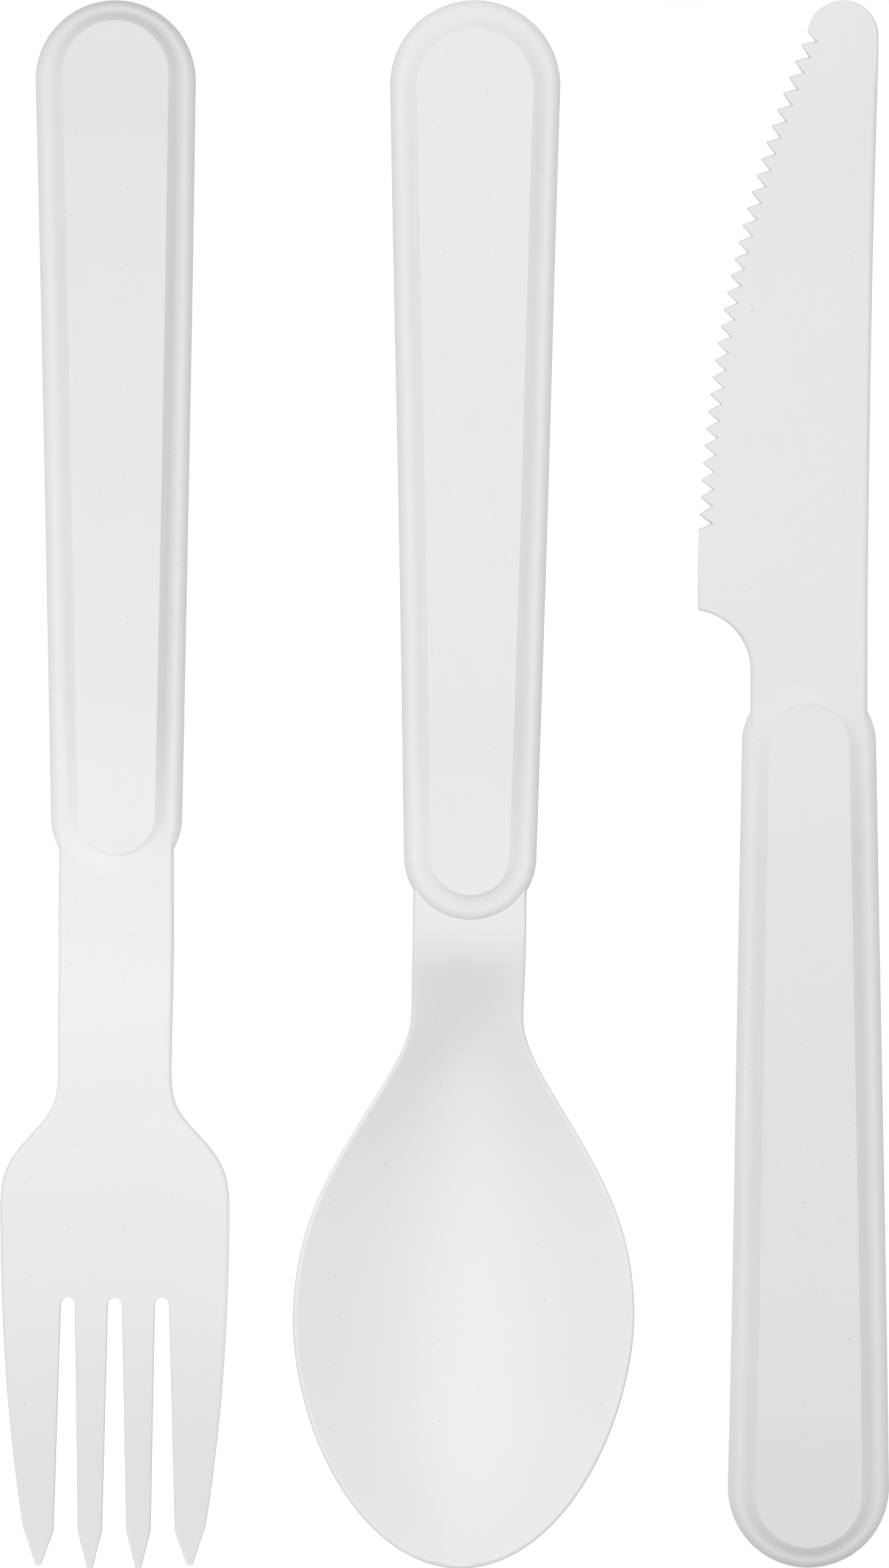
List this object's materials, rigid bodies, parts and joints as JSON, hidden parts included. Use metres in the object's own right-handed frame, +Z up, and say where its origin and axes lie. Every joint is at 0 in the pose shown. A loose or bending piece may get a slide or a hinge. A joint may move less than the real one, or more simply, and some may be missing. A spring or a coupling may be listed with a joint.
{
  "type": "plastic cutlery pack",
  "caption": "Place setting of moulded white plastic cutlery: a fork, a spoon and a serrated knife, with channelled handles that carry a raised panel inside a rolled edge.",
  "frame": {"origin": "bottom centre of the box round the laid-out set, on the surface that the pieces lie on", "axes": "+Z up from the table; +Y along the pieces, towards the fork's and spoon's handle ends and the knife's tip; +X from the fork to the knife"},
  "size_m": [0.102, 0.18, 0.0117],
  "materials": {
    "white_plastic": "satin white moulded plastic with a very fine grain"
  },
  "bodies": {
    "root": {"fork": "white_plastic", "spoon": "white_plastic", "knife": "white_plastic"}
  },
  "joints": []
}
